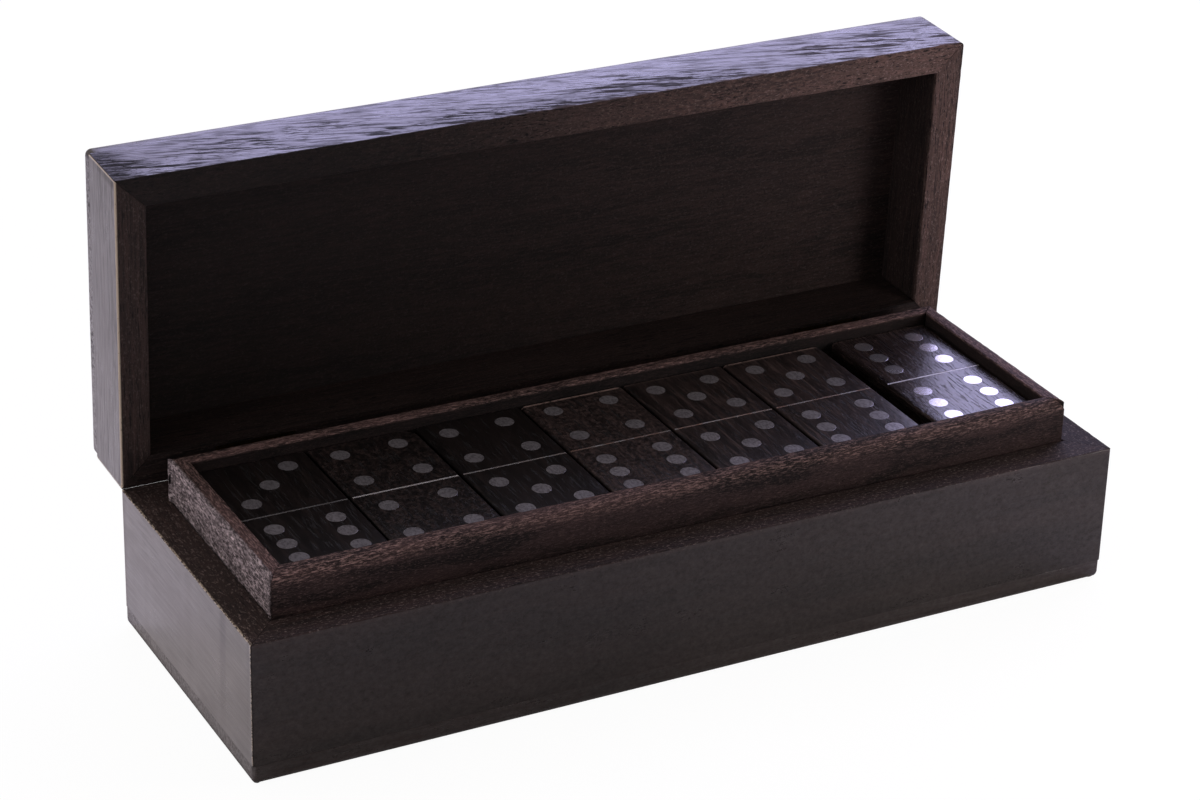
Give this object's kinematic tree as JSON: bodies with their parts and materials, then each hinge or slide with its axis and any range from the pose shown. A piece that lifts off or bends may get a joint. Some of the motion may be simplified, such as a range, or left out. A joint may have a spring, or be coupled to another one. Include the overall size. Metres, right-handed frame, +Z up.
{
  "type": "domino storage box",
  "caption": "Dark wooden case with a hinged lid and a raised inner lip, holding a set of wooden dominoes with metal pips in stacked layers.",
  "frame": {"origin": "centre of the flat underside", "axes": "+X along the box to the right, +Y towards the hinges, +Z up"},
  "size_m": [0.2, 0.0879, 0.1026],
  "materials": {
    "case_wood": "dark stained hardwood, satin",
    "lip_wood": "dark stained hardwood, raw sanded edge",
    "domino_wood": "dark stained hardwood, waxed",
    "inlay_metal": "matt sanded flush",
    "hinge_brass": "aged brass"
  },
  "bodies": {
    "case": {"base_front_wall": "case_wood", "base_right_wall": "case_wood", "base_back_wall": "case_wood", "base_left_wall": "case_wood", "base_bottom_panel": "case_wood", "liner_front": "lip_wood", "liner_right": "lip_wood", "liner_back": "lip_wood", "liner_left": "lip_wood", "base_hinge_leaf_left": "hinge_brass", "base_hinge_leaf_right": "hinge_brass", "hinge_pin_left": "hinge_brass", "hinge_pin_right": "hinge_brass", "base_hinge_screws": "hinge_brass"},
    "lid": {"lid_front_wall": "case_wood", "lid_right_wall": "case_wood", "lid_back_wall": "case_wood", "lid_left_wall": "case_wood", "lid_top_panel": "case_wood", "lid_hinge_leaf_left": "hinge_brass", "lid_hinge_leaf_right": "hinge_brass", "lid_hinge_screws": "hinge_brass"},
    "tile_0_0": {"tile_0_0": "domino_wood"},
    "tile_0_1": {"tile_0_1": "domino_wood"},
    "tile_0_2": {"tile_0_2": "domino_wood"},
    "tile_0_3": {"tile_0_3": "domino_wood"},
    "tile_0_4": {"tile_0_4": "domino_wood"},
    "tile_0_5": {"tile_0_5": "domino_wood"},
    "tile_0_6": {"tile_0_6": "domino_wood"},
    "tile_1_1": {"tile_1_1": "domino_wood"},
    "tile_1_2": {"tile_1_2": "domino_wood"},
    "tile_1_3": {"tile_1_3": "domino_wood"},
    "tile_1_4": {"tile_1_4": "domino_wood"},
    "tile_1_5": {"tile_1_5": "domino_wood"},
    "tile_1_6": {"tile_1_6": "domino_wood"},
    "tile_2_2": {"tile_2_2": "domino_wood"},
    "tile_2_3": {"tile_2_3": "domino_wood"},
    "tile_2_4": {"tile_2_4": "domino_wood"},
    "tile_2_5": {"tile_2_5": "domino_wood"},
    "tile_2_6": {"tile_2_6": "domino_wood"},
    "tile_3_3": {"tile_3_3": "domino_wood"},
    "tile_3_4": {"tile_3_4": "domino_wood"},
    "tile_3_5": {"tile_3_5": "domino_wood"},
    "tile_3_6": {"tile_3_6": "domino_wood", "inlay_3_6": "inlay_metal"},
    "tile_4_4": {"tile_4_4": "domino_wood", "inlay_4_4": "inlay_metal"},
    "tile_4_5": {"tile_4_5": "domino_wood", "inlay_4_5": "inlay_metal"},
    "tile_4_6": {"tile_4_6": "domino_wood", "inlay_4_6": "inlay_metal"},
    "tile_5_5": {"tile_5_5": "domino_wood", "inlay_5_5": "inlay_metal"},
    "tile_5_6": {"tile_5_6": "domino_wood", "inlay_5_6": "inlay_metal"},
    "tile_6_6": {"tile_6_6": "domino_wood", "inlay_6_6": "inlay_metal"}
  },
  "joints": [
    {"name": "lid_hinge", "type": "hinge", "parent": "case", "child": "lid", "pos_m": [0, 0.035, 0.03205], "axis": [-1, 0, 0], "range_deg": [-88, 0]},
    {"name": "lift_0_0", "type": "slide", "parent": "case", "child": "tile_0_0", "axis": [0, 0, 1], "range_m": [0, 0.049]},
    {"name": "lift_0_1", "type": "slide", "parent": "case", "child": "tile_0_1", "axis": [0, 0, 1], "range_m": [0, 0.049]},
    {"name": "lift_0_2", "type": "slide", "parent": "case", "child": "tile_0_2", "axis": [0, 0, 1], "range_m": [0, 0.049]},
    {"name": "lift_0_3", "type": "slide", "parent": "case", "child": "tile_0_3", "axis": [0, 0, 1], "range_m": [0, 0.049]},
    {"name": "lift_0_4", "type": "slide", "parent": "case", "child": "tile_0_4", "axis": [0, 0, 1], "range_m": [0, 0.049]},
    {"name": "lift_0_5", "type": "slide", "parent": "case", "child": "tile_0_5", "axis": [0, 0, 1], "range_m": [0, 0.049]},
    {"name": "lift_0_6", "type": "slide", "parent": "case", "child": "tile_0_6", "axis": [0, 0, 1], "range_m": [0, 0.049]},
    {"name": "lift_1_1", "type": "slide", "parent": "tile_0_0", "child": "tile_1_1", "axis": [0, 0, 1], "range_m": [0, 0.041]},
    {"name": "lift_1_2", "type": "slide", "parent": "tile_0_1", "child": "tile_1_2", "axis": [0, 0, 1], "range_m": [0, 0.041]},
    {"name": "lift_1_3", "type": "slide", "parent": "tile_0_2", "child": "tile_1_3", "axis": [0, 0, 1], "range_m": [0, 0.041]},
    {"name": "lift_1_4", "type": "slide", "parent": "tile_0_3", "child": "tile_1_4", "axis": [0, 0, 1], "range_m": [0, 0.041]},
    {"name": "lift_1_5", "type": "slide", "parent": "tile_0_4", "child": "tile_1_5", "axis": [0, 0, 1], "range_m": [0, 0.041]},
    {"name": "lift_1_6", "type": "slide", "parent": "tile_0_5", "child": "tile_1_6", "axis": [0, 0, 1], "range_m": [0, 0.041]},
    {"name": "lift_2_2", "type": "slide", "parent": "tile_0_6", "child": "tile_2_2", "axis": [0, 0, 1], "range_m": [0, 0.041]},
    {"name": "lift_2_3", "type": "slide", "parent": "tile_1_1", "child": "tile_2_3", "axis": [0, 0, 1], "range_m": [0, 0.032]},
    {"name": "lift_2_4", "type": "slide", "parent": "tile_1_2", "child": "tile_2_4", "axis": [0, 0, 1], "range_m": [0, 0.032]},
    {"name": "lift_2_5", "type": "slide", "parent": "tile_1_3", "child": "tile_2_5", "axis": [0, 0, 1], "range_m": [0, 0.032]},
    {"name": "lift_2_6", "type": "slide", "parent": "tile_1_4", "child": "tile_2_6", "axis": [0, 0, 1], "range_m": [0, 0.032]},
    {"name": "lift_3_3", "type": "slide", "parent": "tile_1_5", "child": "tile_3_3", "axis": [0, 0, 1], "range_m": [0, 0.032]},
    {"name": "lift_3_4", "type": "slide", "parent": "tile_1_6", "child": "tile_3_4", "axis": [0, 0, 1], "range_m": [0, 0.032]},
    {"name": "lift_3_5", "type": "slide", "parent": "tile_2_2", "child": "tile_3_5", "axis": [0, 0, 1], "range_m": [0, 0.032]},
    {"name": "lift_3_6", "type": "slide", "parent": "tile_2_3", "child": "tile_3_6", "axis": [0, 0, 1], "range_m": [0, 0.023]},
    {"name": "lift_4_4", "type": "slide", "parent": "tile_2_4", "child": "tile_4_4", "axis": [0, 0, 1], "range_m": [0, 0.023]},
    {"name": "lift_4_5", "type": "slide", "parent": "tile_2_5", "child": "tile_4_5", "axis": [0, 0, 1], "range_m": [0, 0.023]},
    {"name": "lift_4_6", "type": "slide", "parent": "tile_2_6", "child": "tile_4_6", "axis": [0, 0, 1], "range_m": [0, 0.023]},
    {"name": "lift_5_5", "type": "slide", "parent": "tile_3_3", "child": "tile_5_5", "axis": [0, 0, 1], "range_m": [0, 0.023]},
    {"name": "lift_5_6", "type": "slide", "parent": "tile_3_4", "child": "tile_5_6", "axis": [0, 0, 1], "range_m": [0, 0.023]},
    {"name": "lift_6_6", "type": "slide", "parent": "tile_3_5", "child": "tile_6_6", "axis": [0, 0, 1], "range_m": [0, 0.023]}
  ]
}
